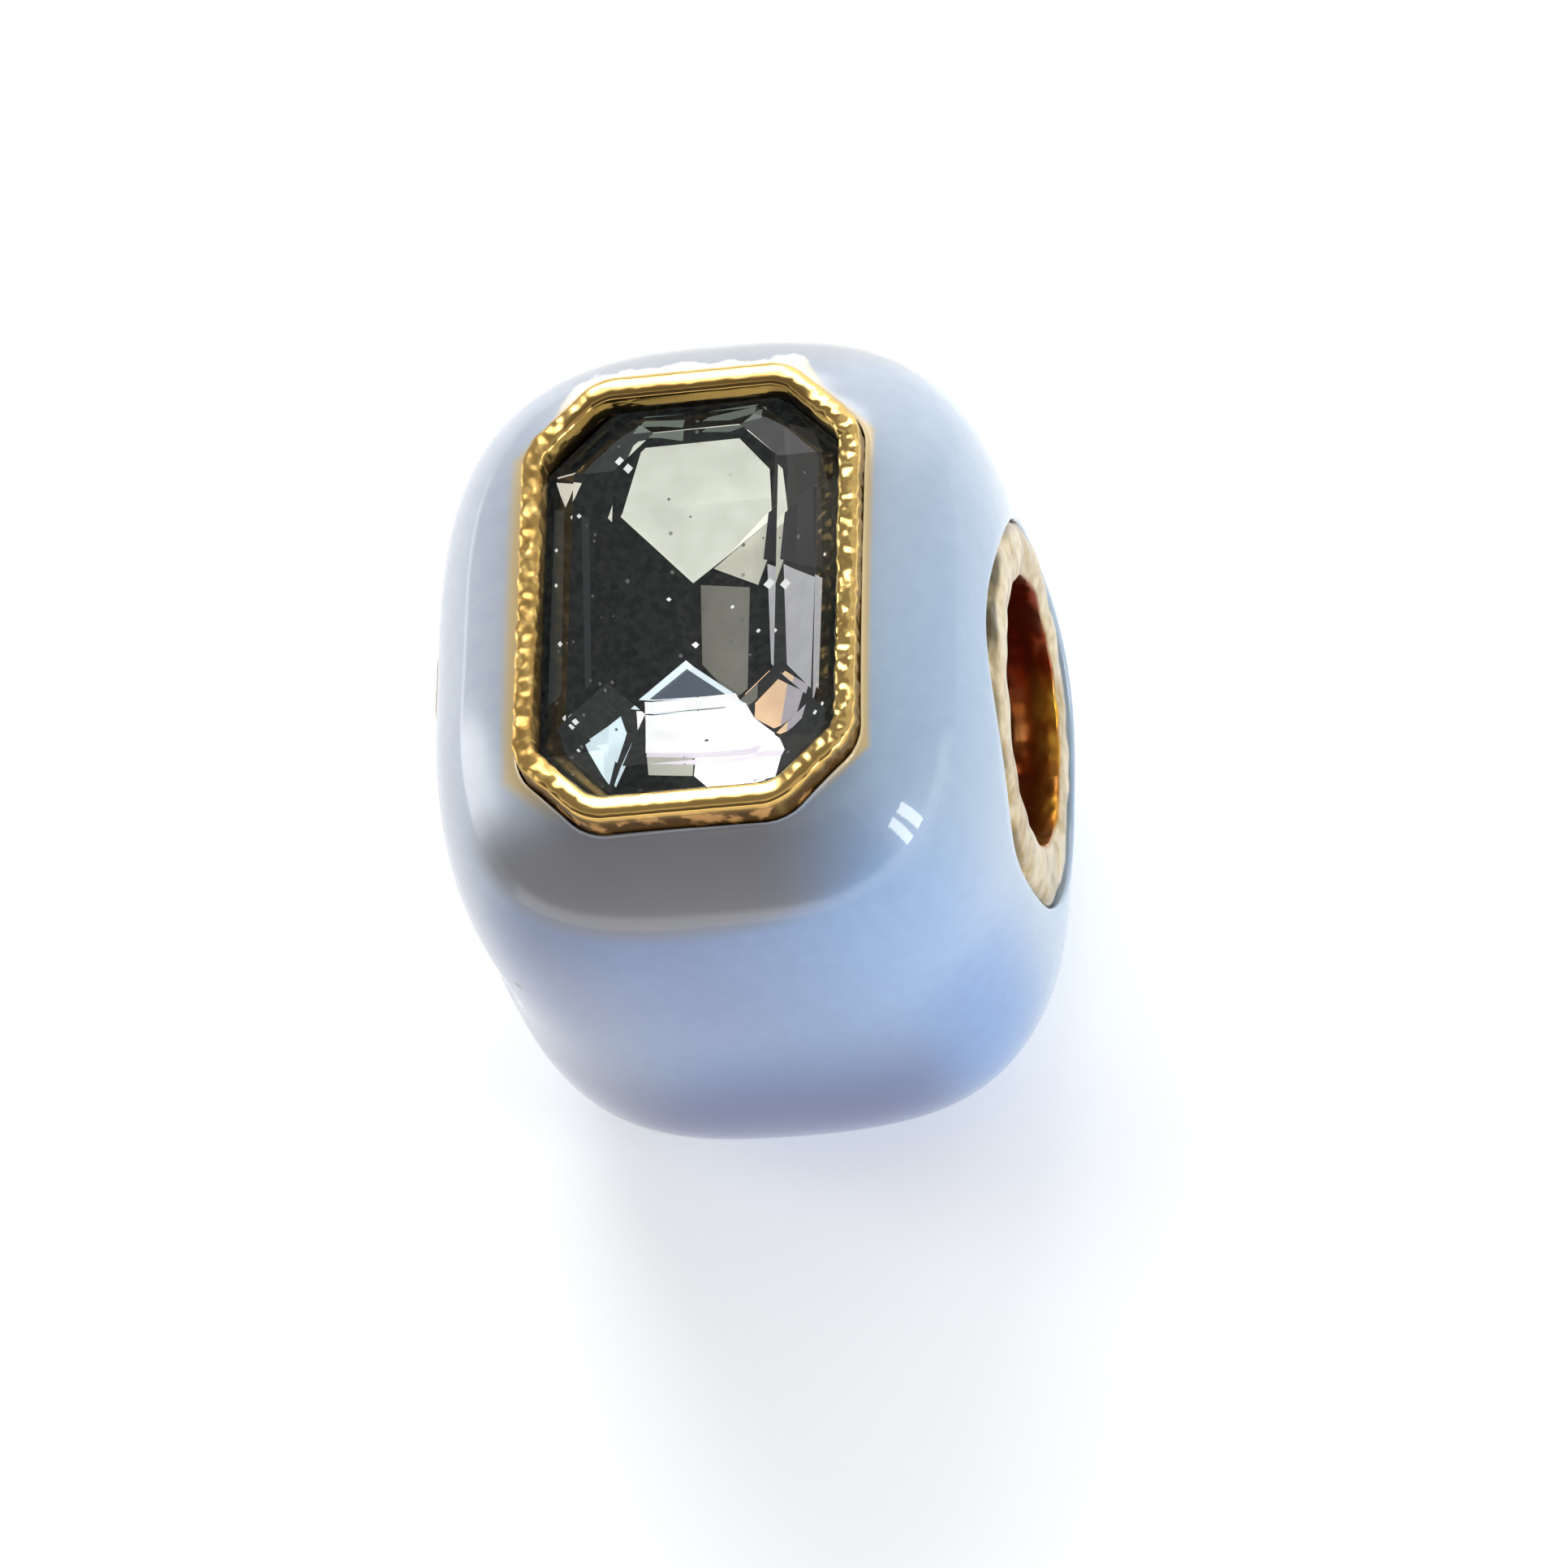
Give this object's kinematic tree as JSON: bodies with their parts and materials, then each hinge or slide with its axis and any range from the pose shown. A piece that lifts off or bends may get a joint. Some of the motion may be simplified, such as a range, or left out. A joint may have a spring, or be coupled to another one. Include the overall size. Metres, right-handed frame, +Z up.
{
  "type": "cube slider charm",
  "caption": "Rounded cube bead with a large hole for a bracelet, pale blue enamel over a gold casting and an octagonal clear stone in a bezel.",
  "frame": {"origin": "middle of the flat back that the charm rests on, below the middle of the hole", "axes": "+X along the hole, +Y along the stone's long side, +Z up out of the stone's table"},
  "size_m": [0.0092, 0.0112, 0.01],
  "materials": {
    "gold": "gold plated, softly hammered and polished",
    "enamel": "glossy poured enamel",
    "crystal": "polished facets, mirror foil behind the pavilion"
  },
  "bodies": {
    "root": {"metal_body": "gold", "enamel_coat": "enamel", "stone": "crystal"}
  },
  "joints": []
}
